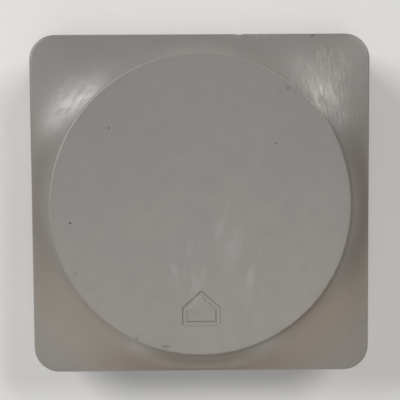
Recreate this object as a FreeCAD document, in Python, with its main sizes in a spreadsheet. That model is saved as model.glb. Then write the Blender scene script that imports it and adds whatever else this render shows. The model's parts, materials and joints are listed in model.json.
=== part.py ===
"""A square wireless push button with one large round face.

A silicone cover with a round dished disc is stretched over a rigid key plate, and the two travel together
over a fixed base. The base holds the board with its switch in the middle, and a coin cell behind a bayonet
door.
The origin is at the middle of the rest face, +Z points out of the face that is pressed and +Y is its top.
"""
import FreeCAD, Part

import math
import os
import re

import Sketcher
from FreeCAD import Vector

# Driving dimensions in millimetres, apart from the ones whose names say angle, share or count.
SIZES = {
    # silicone cover
    "cover_width": 60.0,
    "cover_corner": 4.5,
    "total_height": 14.5,
    "rim_margin": 3.9,
    "rim_step": 0.5,
    "rim_fillet": 0.3,
    "flare_drop": 2.9,
    "flare_lean_share": 0.25,
    "flare_flat": 0.15,
    "edge_fillet": 0.5,
    "dish_depth": 0.65,
    "dish_margin": 0.8,
    "cover_wall": 1.6,
    "face_wall": 1.7,
    "rim_wall": 1.9,
    "shoulder_wall": 1.2,
    "lip_height": 1.0,
    "lip_depth": 1.0,
    "mark_width": 6.6,
    "mark_height": 6.0,
    "mark_line": 0.8,
    "mark_depth": 0.22,
    "mark_place": 18.0,
    "mark_eaves_share": 0.55,
    "mark_peak_share": 1.28,
    # key plate and its travel
    "plate_wall": 1.2,
    "key_travel": 0.6,
    "stop_gap": 0.12,
    "skirt_gap": 0.4,
    "key_side_gap": 0.6,
    "pad_radius": 3.0,
    "post_radius": 1.25,
    "post_inset": 7.6,
    "hook_reach": 0.45,
    "hook_width": 1.2,
    "hook_height": 0.6,
    "hook_gap": 0.1,
    "running_gap": 0.05,
    "contact_gap": 0.02,
    # return springs
    "spring_radius": 1.8,
    "spring_wire": 0.3,
    "spring_pocket_radius": 2.3,
    "spring_pocket_depth": 2.5,
    "spring_turn_count": 5.0,
    # chassis
    "chassis_corner": 2.0,
    "chassis_wall": 1.2,
    "deck_thickness": 1.2,
    "boss_rise": 0.48,
    "boss_wall": 0.9,
    "screw_boss_radius": 2.4,
    "board_boss_radius": 1.8,
    "well_wall": 1.2,
    "recess_gap": 0.4,
    # back cover and grip pad
    "pad_thickness": 1.0,
    "pad_recess": 0.4,
    "pad_inset": 5.0,
    "pad_corner": 5.0,
    "pad_side_gap": 0.1,
    "floor_thickness": 1.2,
    "back_flange": 0.7,
    "flange_inset": 2.0,
    "flange_corner": 3.2,
    "seam_rise": 0.4,
    "tongue_height": 1.0,
    "tongue_wall": 0.8,
    "floor_boss_radius": 3.2,
    # screws
    "case_screw_inset": 12.0,
    "case_screw_radius": 0.95,
    "case_screw_length": 5.0,
    "case_head_radius": 1.9,
    "case_head_height": 1.2,
    "case_head_sink": 0.2,
    "head_gap": 0.4,
    "board_screw_inset": 2.5,
    "board_screw_radius": 0.78,
    "board_screw_length": 3.4,
    "board_head_radius": 1.5,
    "board_head_height": 0.8,
    "thread_gap": 0.02,
    "driver_width": 0.5,
    "driver_depth": 0.6,
    # battery door
    "cell_diameter": 24.5,
    "cell_thickness": 5.0,
    "cell_side_gap": 0.35,
    "cell_can_share": 0.9,
    "cell_crimp_share": 0.93,
    "cell_base_chamfer": 0.4,
    "cell_crimp": 0.3,
    "cell_crimp_width": 0.7,
    "cell_cap_slope": 0.2,
    "door_ring_wall": 0.85,
    "door_ring_gap": 0.25,
    "door_tab_reach": 1.05,
    "door_tab_height": 0.7,
    "door_tab_angle": 28.0,
    "door_slot_angle": 32.0,
    "door_turn_angle": 32.0,
    "door_side_gap": 0.15,
    "door_under_gap": 0.1,
    "door_tab_gap": 0.5,
    "well_gap": 0.3,
    "stop_angle": 3.0,
    "closed_stop_slack_angle": 1.0,
    "open_stop_slack_angle": 0.5,
    "ledge_thickness": 1.2,
    "collar_wall": 2.0,
    "coin_slot_length": 14.0,
    "coin_slot_width": 2.2,
    "coin_slot_depth": 0.6,
    "seal_wire": 0.46,
    "seal_inset": 0.5,
    # cell contacts
    "leaf_height": 0.5,
    "leaf_thickness": 0.2,
    "leaf_length": 12.0,
    "leaf_width": 4.0,
    "clip_thickness": 0.25,
    "clip_width": 3.0,
    "clip_foot": 2.4,
    "clip_side_gap": 0.6,
    # board
    "board_gap": 1.0,
    "board_thickness": 0.8,
    # switch
    "switch_width": 6.2,
    "switch_corner": 0.4,
    "switch_height": 1.8,
    "switch_plate": 0.2,
    "switch_rise": 0.8,
    "plunger_radius": 1.7,
    "plunger_flange_radius": 2.2,
    "plunger_flange_height": 0.4,
    "plunger_chamfer": 0.2,
    "dome_radius": 2.1,
    "dome_height": 0.9,
    "dome_sheet": 0.1,
    "terminal_width": 0.7,
    "terminal_reach": 1.0,
    "terminal_thickness": 0.2,
    # small parts on the board
    "chip_width": 6.0,
    "chip_height": 0.85,
    "antenna_length": 7.0,
    "antenna_width": 2.0,
    "antenna_height": 0.8,
    "crystal_length": 3.2,
    "crystal_width": 1.5,
    "crystal_height": 0.7,
    "reservoir_length": 7.3,
    "reservoir_width": 4.3,
    "reservoir_height": 1.9,
    "small_part_length": 1.6,
    "small_part_width": 0.8,
    "capacitor_height": 0.8,
    "resistor_height": 0.45,
}

# Rules: places and sizes that follow from the driving dimensions.
RULES = {
    # heights of the moving key
    "rim_z": "total_height - rim_step",
    "edge_z": "rim_z - flare_drop",
    "shoulder_z": "edge_z - shoulder_wall",
    "plate_z": "shoulder_z - plate_wall",
    "platform_top": "total_height - face_wall",
    "platform_under": "platform_top - plate_wall",
    "skirt_z": "flange_top + key_travel + skirt_gap",
    "wall_z": "skirt_z + lip_height",
    # heights of the base
    "back_z": "pad_thickness - pad_recess",
    "floor_top": "back_z + floor_thickness",
    "flange_top": "back_z + back_flange",
    "seam_z": "floor_top + seam_rise",
    "tongue_top": "seam_z + tongue_height",
    "ledge_top": "floor_top + ledge_thickness",
    "door_top": "floor_top - door_under_gap",
    "tab_z": "ledge_top + running_gap",
    "tab_top": "tab_z + door_tab_height",
    "well_z": "tab_top + well_gap",
    "cell_z": "door_top + running_gap",
    "cell_top": "cell_z + cell_thickness",
    "board_z": "cell_top + leaf_height",
    "board_top": "board_z + board_thickness",
    "deck_z": "board_z - deck_thickness",
    "chassis_top": "plate_z - key_travel - stop_gap",
    "spring_z": "chassis_top - spring_pocket_depth",
    "boss_z": "tongue_top + boss_rise",
    "hook_top": "boss_z - hook_gap",
    "hook_z": "hook_top - hook_height",
    "switch_top": "board_top + switch_height",
    "well_depth": "dome_height + plunger_flange_height + switch_plate",
    "switch_plate_top": "switch_top + switch_plate",
    "plunger_top": "switch_plate_top + switch_rise",
    "case_head_z": "back_z + case_head_sink",
    "case_head_top": "case_head_z + case_head_height",
    # radii and widths
    "disc_radius": "cover_width / 2 - rim_margin",
    "near_round": "disc_radius - flare_flat",
    "dish_radius": "disc_radius - dish_margin",
    "platform_radius": "disc_radius - rim_wall",
    "platform_inner": "platform_radius - plate_wall",
    "hollow_width": "cover_width - 2 * cover_wall",
    "hollow_corner": "cover_corner - cover_wall",
    "lip_width": "hollow_width - 2 * lip_depth",
    "plate_inner_width": "hollow_width - 2 * plate_wall",
    "plate_inner_corner": "hollow_corner - plate_wall",
    "chassis_width": "plate_inner_width - 2 * key_side_gap",
    "chassis_inner": "chassis_width - 2 * chassis_wall",
    "chassis_inner_corner": "chassis_corner - chassis_wall",
    "tongue_width": "chassis_inner - 2 * running_gap",
    "tongue_inner": "tongue_width - 2 * tongue_wall",
    "flange_width": "cover_width - 2 * flange_inset",
    "pad_width": "cover_width - 2 * pad_inset",
    "post_place": "cover_width / 2 - post_inset",
    "boss_radius": "spring_pocket_radius + boss_wall",
    "screw_place": "cover_width / 2 - case_screw_inset",
    "cell_radius": "cell_diameter / 2",
    "door_ring_inner": "cell_radius + cell_side_gap",
    "door_ring_outer": "door_ring_inner + door_ring_wall",
    "ledge_radius": "door_ring_outer + door_ring_gap",
    "tab_radius": "door_ring_outer + door_tab_reach",
    "opening_radius": "tab_radius + door_tab_gap",
    "door_radius": "opening_radius - door_side_gap",
    "collar_radius": "opening_radius + collar_wall",
    "well_radius": "door_ring_inner + well_wall",
    "board_radius": "platform_inner - board_gap",
    "board_screw_place": "board_radius - board_screw_inset",
}

DOC = FreeCAD.newDocument("push_button")
SHEET = DOC.addObject("Spreadsheet::Sheet", "Sizes")
BODIES = []
TOLERANCE = 1e-4


def full(rule):
    """Spell a rule out in cells of the sheet: each derived name becomes its own rule."""
    def spell(match):
        name = match.group(0)
        if name in RULES:
            return "(" + full(RULES[name]) + ")"
        return "Sizes." + name if name in SIZES else name
    return re.sub(r"[a-z]\w*", spell, rule)


def number(rule):
    """The present value of a rule."""
    return float(SHEET.evalExpression(full(rule)))


def fill_sheet():
    for row, (name, value) in enumerate(SIZES.items(), 1):
        SHEET.set(f"A{row}", name)
        SHEET.set(f"B{row}", str(value))
        SHEET.setAlias(f"B{row}", name)
    DOC.recompute()


def new_body(label, z=None):
    """Start a sub-part; z is the rule for the height of its own origin."""
    body = DOC.addObject("PartDesign::Body", label)
    body.Label = label
    if z:
        body.setExpression("Placement.Base.z", full(z))
    BODIES.append(body)
    return body


def origin_part(body, role):
    return next(item for item in body.Origin.OriginFeatures if item.Role == role)


def drive(sketch, kind, places, rule):
    """Add a dimension to a sketch and bind it to a rule."""
    index = sketch.addConstraint(Sketcher.Constraint(kind, *places, number(rule)))
    name = f"{kind}_{index}"
    sketch.renameConstraint(index, name)
    sketch.setExpression("Constraints." + name, full(rule))


def hold(sketch, element, point, x, y):
    """Hold one point of a sketch at a place measured from the sketch's origin."""
    for kind, rule, axis in (("DistanceX", x, -2), ("DistanceY", y, -1)):
        if rule == "0":
            sketch.addConstraint(Sketcher.Constraint("PointOnObject", element, point, axis))
        else:
            drive(sketch, kind, (-1, 1, element, point), rule)


def disc(radius, x="0", y="0"):
    """Outline: a circle."""
    def draw(sketch):
        centre = Vector(number(x), number(y), 0)
        index = sketch.addGeometry(Part.Circle(centre, Vector(0, 0, 1), number(radius)), False)
        hold(sketch, index, 3, x, y)
        drive(sketch, "Radius", (index,), radius)
    return draw


def polygon(*points):
    """Outline: straight lines through points, each given as a pair of rules."""
    def draw(sketch):
        places = [Vector(number(x), number(y), 0) for x, y in points]
        first = sketch.GeometryCount
        count = len(points)
        for i, place in enumerate(places):
            sketch.addGeometry(Part.LineSegment(place, places[(i + 1) % count]), False)
        for i, (x, y) in enumerate(points):
            before = first + (i - 1) % count
            sketch.addConstraint(Sketcher.Constraint("Coincident", before, 2, first + i, 1))
            hold(sketch, first + i, 1, x, y)
    return draw


def rectangle(width, length, x="0", y="0"):
    """Outline: an upright rectangle about a point; width runs along the sketch's x."""
    left, right = f"({x}) - ({width}) / 2", f"({x}) + ({width}) / 2"
    low, high = f"({y}) - ({length}) / 2", f"({y}) + ({length}) / 2"
    return polygon((left, low), (right, low), (right, high), (left, high))


def rounded_square(width, corner):
    """Outline: a square about the origin with tangent corner arcs."""
    def draw(sketch):
        side = number(width) / 2
        radius = number(corner)
        flat = side - radius
        first = sketch.GeometryCount
        for i in range(4):
            turn = i * math.pi / 2
            spin = FreeCAD.Rotation(Vector(0, 0, 1), math.degrees(turn))
            start = spin.multVec(Vector(-flat, -side, 0))
            end = spin.multVec(Vector(flat, -side, 0))
            centre = spin.multVec(Vector(flat, -flat, 0))
            circle = Part.Circle(centre, Vector(0, 0, 1), radius)
            sketch.addGeometry(Part.LineSegment(start, end), False)
            sketch.addGeometry(Part.ArcOfCircle(circle, turn - math.pi / 2, turn), False)
        for i in range(8):
            sketch.addConstraint(Sketcher.Constraint("Tangent", first + i, 2, first + (i + 1) % 8, 1))
        for i in (0, 4):
            sketch.addConstraint(Sketcher.Constraint("Horizontal", first + i))
        for i in (2, 6):
            sketch.addConstraint(Sketcher.Constraint("Vertical", first + i))
        for i in (3, 5, 7):
            sketch.addConstraint(Sketcher.Constraint("Equal", first + 1, first + i))
        sketch.addConstraint(Sketcher.Constraint("Symmetric", first + 7, 3, first + 3, 3, -1, 1))
        drive(sketch, "Radius", (first + 1,), corner)
        drive(sketch, "DistanceX", (first + 6, 1, first + 2, 1), width)
        drive(sketch, "DistanceY", (first, 1, first + 4, 1), width)
    return draw


def sector(radius, angle, turn):
    """Outline: a slice of a disc, an angle wide about a direction turned from +X."""
    low = f"(({turn}) - ({angle}) / 2)"
    high = f"(({turn}) + ({angle}) / 2)"

    def draw(sketch):
        reach = number(radius)
        ends = [math.radians(number(side)) for side in (low, high)]
        start, end = [Vector(reach * math.cos(side), reach * math.sin(side), 0) for side in ends]
        circle = Part.Circle(Vector(), Vector(0, 0, 1), reach)
        arc = sketch.addGeometry(Part.ArcOfCircle(circle, *ends), False)
        sketch.addGeometry([Part.LineSegment(end, Vector()), Part.LineSegment(Vector(), start)], False)
        sketch.addConstraint(Sketcher.Constraint("Coincident", arc, 3, -1, 1))
        sketch.addConstraint(Sketcher.Constraint("Coincident", arc, 2, arc + 1, 1))
        sketch.addConstraint(Sketcher.Constraint("Coincident", arc + 1, 2, -1, 1))
        sketch.addConstraint(Sketcher.Constraint("Coincident", arc + 2, 1, -1, 1))
        sketch.addConstraint(Sketcher.Constraint("Coincident", arc + 2, 2, arc, 1))
        hold(sketch, arc, 1, f"({radius}) * cos{low}", f"({radius}) * sin{low}")
        drive(sketch, "DistanceY", (-1, 1, arc, 2), f"({radius}) * sin{high}")
    return draw


def block_between(inner, outer, low, high):
    """Outline: a small block between two radii and two directions from +X."""
    corners = ((inner, low), (outer, low), (outer, high), (inner, high))
    return polygon(*[(f"({reach}) * cos({turn})", f"({reach}) * sin({turn})") for reach, turn in corners])


def cross(arm, width, x, y):
    """Outline: a plus sign whose arms reach a distance from its middle."""
    near = f"({width}) / 2"
    far = f"({arm})"
    quarter = ((far, near), (near, near), (near, far))
    steps = [*quarter]
    steps += [(f"-{step_x}", step_y) for step_x, step_y in reversed(quarter)]
    steps += [(f"-{step_x}", f"-{step_y}") for step_x, step_y in quarter]
    steps += [(step_x, f"-{step_y}") for step_x, step_y in reversed(quarter)]
    return polygon(*[(f"({x}) + {step_x}", f"({y}) + {step_y}") for step_x, step_y in steps])


def sketch_flat(body, name, outlines, z):
    """A sketch parallel to the rest face at height z."""
    sketch = body.newObject("Sketcher::SketchObject", name)
    sketch.AttachmentSupport = [(origin_part(body, "XY_Plane"), "")]
    sketch.MapMode = "FlatFace"
    sketch.setExpression("AttachmentOffset.Base.z", full(z))
    for draw in outlines:
        draw(sketch)
    return sketch


def sketch_upright(body, name, outlines, x="0", y="0"):
    """A sketch on an upright plane facing -Y through the point x, y; its own axes are X and Z."""
    sketch = body.newObject("Sketcher::SketchObject", name)
    sketch.AttachmentSupport = [(origin_part(body, "XZ_Plane"), "")]
    sketch.MapMode = "FlatFace"
    sketch.setExpression("AttachmentOffset.Base.x", full(x))
    sketch.setExpression("AttachmentOffset.Base.z", full(f"-({y})"))
    for draw in outlines:
        draw(sketch)
    return sketch


def pad(body, name, low, high, *outlines):
    """Add material between two heights."""
    feature = body.newObject("PartDesign::Pad", name)
    feature.Profile = sketch_flat(body, name + "_outline", outlines, low)
    feature.setExpression("Length", full(f"({high}) - ({low})"))
    return feature


def pocket(body, name, low, high, *outlines):
    """Cut material away between two heights, downwards from the upper one."""
    feature = body.newObject("PartDesign::Pocket", name)
    feature.Profile = sketch_flat(body, name + "_outline", outlines, high)
    feature.setExpression("Length", full(f"({high}) - ({low})"))
    return feature


def turned(body, name, *outlines, x="0", y="0", kind="Revolution"):
    """Turn a profile about an upright axis through x, y: radius along the sketch's x, height along its y."""
    sketch = sketch_upright(body, name + "_profile", outlines, x, y)
    feature = body.newObject("PartDesign::" + kind, name)
    feature.Profile = sketch
    feature.ReferenceAxis = (sketch, ["V_Axis"])
    feature.Angle = 360
    return feature


def around(body, name, count, *features):
    """Repeat features evenly about the +Z axis."""
    pattern = body.newObject("PartDesign::PolarPattern", name)
    pattern.Originals = list(features)
    pattern.Axis = (origin_part(body, "Z_Axis"), [""])
    pattern.Angle = 360
    pattern.Occurrences = count
    body.Tip = pattern
    return pattern


def round_edges(body, name, radius, wanted):
    """Fillet the edges of the body so far that pass a test."""
    DOC.recompute()
    base = body.Tip
    names = [f"Edge{i}" for i, edge in enumerate(base.Shape.Edges, 1) if wanted(edge)]
    feature = body.newObject("PartDesign::Fillet", name)
    feature.Base = (base, names)
    feature.setExpression("Radius", full(radius))
    return feature


def level_edges(z, inside="0"):
    """Test: the edge lies flat at height z, with its middle at least a distance from the axis."""
    height = number(z)
    least = number(inside)

    def wanted(edge):
        box = edge.BoundBox
        middle = edge.valueAt((edge.FirstParameter + edge.LastParameter) / 2)
        reach = max(abs(middle.x), abs(middle.y))
        return abs(box.ZMin - height) < TOLERANCE and box.ZLength < TOLERANCE and reach >= least
    return wanted


def flare(body):
    """The hollow flare between the square edge and the round rim, through rounded squares of one family.

    A section's share runs from 1 at the edge to 0 at the rim; its height follows a parabola with a lean.
    """
    sections = []
    for index, share in enumerate((1, 0.8, 0.55, 0.3, 0.12, 0)):
        rise = f"((1 - flare_lean_share) * (1 - {share}) ^ 2 + flare_lean_share * (1 - {share}))"
        width = f"2 * (disc_radius + {share} * (rim_margin - edge_fillet))"
        corner = f"near_round + {share} * (cover_corner - edge_fillet - near_round)"
        outline = rounded_square(width, corner)
        sections.append(sketch_flat(body, f"flare_{index}", [outline], f"edge_z + flare_drop * {rise}"))
    loft = body.newObject("PartDesign::AdditiveLoft", "flare")
    loft.Profile = sections[0]
    loft.Sections = sections[1:]
    loft.Ruled = False
    return loft


def dish_outline(sketch):
    """Half of the dish: an arc about the axis from the lowest point up to the rim, closed above the face."""
    radius = number("dish_radius")
    depth = number("dish_depth")
    top = number("total_height")
    bend = (radius ** 2 + depth ** 2) / (2 * depth)
    centre = Vector(0, top - depth + bend, 0)
    start = -math.pi / 2
    circle = Part.Circle(centre, Vector(0, 0, 1), bend)
    arc = sketch.addGeometry(Part.ArcOfCircle(circle, start, start + math.asin(radius / bend)), False)
    sketch.addGeometry(Part.LineSegment(Vector(radius, top, 0), Vector(radius, top + 1, 0)), False)
    sketch.addGeometry(Part.LineSegment(Vector(radius, top + 1, 0), Vector(0, top + 1, 0)), False)
    sketch.addGeometry(Part.LineSegment(Vector(0, top + 1, 0), Vector(0, top - depth, 0)), False)
    sketch.addConstraint(Sketcher.Constraint("PointOnObject", arc, 3, -2))
    hold(sketch, arc, 1, "0", "total_height - dish_depth")
    hold(sketch, arc, 2, "dish_radius", "total_height")
    sketch.addConstraint(Sketcher.Constraint("Coincident", arc, 2, arc + 1, 1))
    sketch.addConstraint(Sketcher.Constraint("Coincident", arc + 1, 2, arc + 2, 1))
    sketch.addConstraint(Sketcher.Constraint("Coincident", arc + 2, 2, arc + 3, 1))
    sketch.addConstraint(Sketcher.Constraint("Coincident", arc + 3, 2, arc, 1))
    hold(sketch, arc + 1, 2, "dish_radius", "total_height + 1")
    hold(sketch, arc + 2, 2, "0", "total_height + 1")


def house(inset):
    """Outline: a plain house with a pitched roof, moved in all round by an inset.

    The peak moves in by more than the walls, because the roof slopes.
    """
    half = f"mark_width / 2 - ({inset})"
    low = f"-mark_place - mark_height / 2 + ({inset})"
    eaves = "-mark_place - mark_height / 2 + mark_height * mark_eaves_share"
    peak = f"-mark_place + mark_height / 2 - mark_peak_share * ({inset})"
    return polygon((f"-({half})", low), (half, low), (half, eaves), ("0", peak), (f"-({half})", eaves))


def silicone_cover():
    body = new_body("silicone_cover")
    pad(body, "skirt", "skirt_z", "edge_z", rounded_square("cover_width", "cover_corner"))
    round_edges(body, "edge_round", "edge_fillet", level_edges("edge_z"))
    flare(body)
    pad(body, "rim", "rim_z", "total_height", disc("disc_radius"))
    turned(body, "dish", dish_outline, kind="Groove")
    round_edges(body, "rim_round", "rim_fillet", level_edges("total_height", "dish_radius + dish_margin / 2"))
    pocket(body, "lip_opening", "skirt_z", "wall_z", rounded_square("lip_width", "hollow_corner"))
    pocket(body, "square_hollow", "wall_z", "shoulder_z", rounded_square("hollow_width", "hollow_corner"))
    pocket(body, "round_hollow", "shoulder_z", "platform_top", disc("platform_radius"))
    floor = "total_height - dish_depth * (1 - (mark_place / dish_radius) ^ 2) - mark_depth"
    pocket(body, "mark", floor, "total_height", house("0"), house("mark_line"))
    return body


def key_plate():
    body = new_body("key_plate")
    square = rounded_square("hollow_width", "hollow_corner")
    pad(body, "flange", "wall_z", "shoulder_z", square)
    pocket(body, "inside", "wall_z", "plate_z", rounded_square("plate_inner_width", "plate_inner_corner"))
    pad(body, "platform", "shoulder_z", "platform_top", disc("platform_radius"))
    pocket(body, "platform_hollow", "plate_z", "platform_under", disc("platform_inner"))
    post = pad(body, "post", "hook_z", "plate_z", disc("post_radius", "post_place", "post_place"))
    hook_x = "post_place - post_radius / 2 - hook_reach / 2"
    hook = pad(body, "hook", "hook_z", "hook_top",
               rectangle("hook_reach + post_radius", "hook_width", hook_x, "post_place"))
    around(body, "posts", 4, post, hook)
    return body


def actuator_pad():
    body = new_body("actuator_pad", "plunger_top + contact_gap")
    pad(body, "cushion", "0", "platform_under - plunger_top - contact_gap", disc("pad_radius"))
    return body


def return_springs():
    """Four coil springs, each between its pocket's floor and the key plate."""
    body = new_body("return_springs", "spring_z")
    wire = disc("spring_wire / 2", "spring_radius", "spring_wire / 2")
    profile = sketch_upright(body, "wire", [wire], "post_place", "post_place")
    coil = body.newObject("PartDesign::AdditiveHelix", "coil")
    coil.Profile = profile
    coil.ReferenceAxis = (profile, ["V_Axis"])
    coil.Mode = "height-turns-growth"
    coil.setExpression("Height", full("plate_z - spring_z - spring_wire - contact_gap"))
    coil.setExpression("Turns", full("spring_turn_count"))
    around(body, "springs", 4, coil)
    return body


def chassis():
    body = new_body("chassis")
    square = rounded_square("chassis_width", "chassis_corner")
    inner = rounded_square("chassis_inner", "chassis_inner_corner")
    pad(body, "block", "seam_z", "chassis_top", square)
    pocket(body, "inside", "seam_z", "deck_z", inner)
    pocket(body, "board_recess", "board_z", "chassis_top", disc("board_radius + recess_gap"))
    pad(body, "cell_well", "well_z", "deck_z", disc("well_radius"))
    pocket(body, "cell_opening", "well_z", "board_z", disc("door_ring_inner"))
    boss = pad(body, "guide_boss", "boss_z", "chassis_top", disc("boss_radius", "post_place", "post_place"))
    around(body, "guide_bosses", 4, boss)
    bore = pocket(body, "guide_bore", "boss_z", "chassis_top",
                  disc("post_radius + running_gap", "post_place", "post_place"))
    around(body, "guide_bores", 4, bore)
    well = pocket(body, "spring_pocket", "spring_z", "chassis_top",
                  disc("spring_pocket_radius", "post_place", "post_place"))
    around(body, "spring_pockets", 4, well)
    column = pad(body, "screw_boss", "ledge_top", "deck_z",
                 disc("screw_boss_radius", "screw_place", "screw_place"))
    around(body, "screw_bosses", 4, column)
    pilot = pocket(body, "pilot", "ledge_top", "case_head_top + case_screw_length + head_gap",
                   disc("case_screw_radius + thread_gap", "screw_place", "screw_place"))
    around(body, "pilots", 4, pilot)
    column = pad(body, "board_boss", "board_z - board_screw_length", "deck_z",
                 disc("board_boss_radius", "0", "board_screw_place"))
    around(body, "board_bosses", 3, column)
    pilot = pocket(body, "board_pilot", "board_z - board_screw_length", "board_z",
                   disc("board_screw_radius + thread_gap", "0", "board_screw_place"))
    around(body, "board_pilots", 3, pilot)
    notch_x = "door_ring_inner + clip_foot / 2"
    pocket(body, "clip_notch", "well_z", "board_z",
           rectangle("clip_foot + 2 * clip_side_gap", "clip_width + 2 * clip_side_gap", notch_x))
    return body


def back_cover():
    body = new_body("back_cover")
    pad(body, "flange", "back_z", "flange_top", rounded_square("flange_width", "flange_corner"))
    pad(body, "tub", "flange_top", "seam_z", rounded_square("chassis_width", "chassis_corner"))
    pad(body, "tongue", "seam_z", "tongue_top", rounded_square("tongue_width", "chassis_inner_corner"))
    pocket(body, "inside", "floor_top", "tongue_top",
           rounded_square("tongue_inner", "chassis_inner_corner / 2"))
    pad(body, "collar", "floor_top", "ledge_top", disc("collar_radius"))
    column = pad(body, "screw_boss", "floor_top", "ledge_top",
                 disc("floor_boss_radius", "screw_place", "screw_place"))
    around(body, "screw_bosses", 4, column)
    pocket(body, "opening", "back_z", "floor_top", disc("opening_radius"))
    pocket(body, "ledge_bore", "floor_top", "ledge_top", disc("ledge_radius"))
    notch = pocket(body, "tab_notch", "floor_top", "ledge_top",
                   sector("tab_radius + running_gap * 2", "door_slot_angle", "-door_turn_angle"))
    around(body, "tab_notches", 3, notch)
    closed = "door_tab_angle / 2 + closed_stop_slack_angle"
    opened = "-(door_turn_angle + door_slot_angle / 2 + open_stop_slack_angle)"
    near = "ledge_radius + running_gap"
    first = pad(body, "closed_stop", "ledge_top", "tab_top",
                block_between(near, "opening_radius", closed, f"{closed} + stop_angle"))
    last = pad(body, "open_stop", "ledge_top", "tab_top",
               block_between(near, "opening_radius", f"{opened} - stop_angle", opened))
    around(body, "stops", 3, first, last)
    bore = pocket(body, "screw_bore", "back_z", "ledge_top",
                  disc("case_screw_radius + 2 * running_gap", "screw_place", "screw_place"))
    around(body, "screw_bores", 4, bore)
    sink = pocket(body, "head_sink", "back_z", "case_head_top",
                  disc("case_head_radius + 2 * running_gap", "screw_place", "screw_place"))
    around(body, "head_sinks", 4, sink)
    recess = "pad_width + 2 * pad_side_gap"
    pocket(body, "pad_recess", "back_z", "pad_thickness",
           rounded_square(recess, "pad_corner + pad_side_gap"), disc("collar_radius - 2 * pad_side_gap"))
    return body


def grip_pad():
    body = new_body("grip_pad")
    pad(body, "frame", "0", "pad_thickness",
        rounded_square("pad_width", "pad_corner"), disc("collar_radius - pad_side_gap"))
    hole = pocket(body, "screw_hole", "0", "pad_thickness",
                  disc("case_head_radius + head_gap", "screw_place", "screw_place"))
    around(body, "screw_holes", 4, hole)
    return body


def case_screws():
    """Four pan-head screws, heads down."""
    body = new_body("case_screws", "case_head_z")
    tip = "case_head_height + case_screw_length"
    profile = polygon(
        ("0", "0"), ("case_head_radius * 0.8", "0"), ("case_head_radius", "case_head_height * 0.4"),
        ("case_head_radius", "case_head_height"), ("case_screw_radius", "case_head_height"),
        ("case_screw_radius", f"{tip} - case_screw_radius"), ("case_screw_radius * 0.3", tip), ("0", tip))
    screw = turned(body, "screw", profile, x="screw_place", y="screw_place")
    recess = pocket(body, "driver_recess", "0", "driver_depth",
                    cross("case_head_radius * 0.6", "driver_width", "screw_place", "screw_place"))
    around(body, "screws", 4, screw, recess)
    return body


def board_screws():
    """Three small screws, heads up on the board."""
    body = new_body("board_screws", "board_z - board_screw_length")
    seat = "board_screw_length + board_thickness"
    top = f"{seat} + board_head_height"
    profile = polygon(
        ("0", "0"), ("board_screw_radius * 0.3", "0"), ("board_screw_radius", "board_screw_radius"),
        ("board_screw_radius", seat), ("board_head_radius", seat),
        ("board_head_radius", f"{seat} + board_head_height * 0.6"), ("board_head_radius * 0.7", top),
        ("0", top))
    screw = turned(body, "screw", profile, y="board_screw_place")
    recess = pocket(body, "driver_recess", f"{top} - driver_depth * 0.7", top,
                    cross("board_head_radius * 0.55", "driver_width", "0", "board_screw_place"))
    around(body, "screws", 3, screw, recess)
    return body


def battery_door():
    """Round door: a plate with a coin slot and a seal groove, and a ring with three tabs above the ledge."""
    body = new_body("battery_door")
    pad(body, "plate", "back_z", "door_top", disc("door_radius"))
    pad(body, "ring", "door_top", "tab_top", disc("door_ring_outer"))
    tab = pad(body, "tab", "tab_z", "tab_top", sector("tab_radius", "door_tab_angle", "0"))
    around(body, "tabs", 3, tab)
    pocket(body, "cell_space", "door_top", "tab_top", disc("door_ring_inner"))
    pocket(body, "coin_slot", "back_z", "back_z + coin_slot_depth",
           rectangle("coin_slot_length", "coin_slot_width"))
    half = "(seal_wire / 2 + running_gap)"
    middle = "(back_z + door_top) / 2"
    groove = polygon(
        ("door_radius - seal_inset", f"{middle} - {half}"), ("door_radius + 1", f"{middle} - {half}"),
        ("door_radius + 1", f"{middle} + {half}"), ("door_radius - seal_inset", f"{middle} + {half}"))
    turned(body, "seal_groove", groove, kind="Groove")
    return body


def door_seal():
    """O-ring in the door's groove, just short of the opening's wall."""
    body = new_body("door_seal", "(back_z + door_top) / 2")
    turned(body, "ring", disc("seal_wire / 2", "opening_radius - seal_wire / 2 - running_gap"))
    return body


def coin_cell():
    """Round lithium cell, its can down and its smaller cap up."""
    body = new_body("coin_cell", "cell_z")
    crimp = "cell_thickness * cell_crimp_share"
    cap = "cell_radius - cell_crimp - cell_crimp_width"
    profile = polygon(
        ("0", "0"), ("cell_radius - cell_base_chamfer", "0"), ("cell_radius", "cell_base_chamfer"),
        ("cell_radius", "cell_thickness * cell_can_share"), ("cell_radius - cell_crimp", crimp), (cap, crimp),
        (f"{cap} - cell_cap_slope", "cell_thickness"), ("0", "cell_thickness"))
    turned(body, "cell", profile)
    return body


def slab(body, name, width, outline, y="0"):
    """Add an upright profile, half its width to each side of y."""
    feature = body.newObject("PartDesign::Pad", name)
    feature.Profile = sketch_upright(body, name + "_profile", [outline], y=y)
    feature.Midplane = True
    feature.setExpression("Length", full(width))
    return feature


def contact_negative():
    """Leaf under the board whose free end presses on the cell's cap."""
    body = new_body("contact_negative", "cell_top")
    sheet = "leaf_thickness"
    leaf = polygon(
        ("-leaf_length / 2", "leaf_height"), ("-leaf_length / 2", f"leaf_height - {sheet}"),
        ("-leaf_length / 6", f"leaf_height - {sheet}"), ("leaf_length / 6", "0"), ("leaf_length / 3", "0"),
        ("leaf_length / 2", f"{sheet} / 2"), ("leaf_length / 2", f"{sheet} * 1.5"),
        ("leaf_length / 3", sheet), ("leaf_length / 6", sheet), ("-leaf_length / 6", "leaf_height"))
    slab(body, "leaf", "leaf_width", leaf)
    return body


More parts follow.
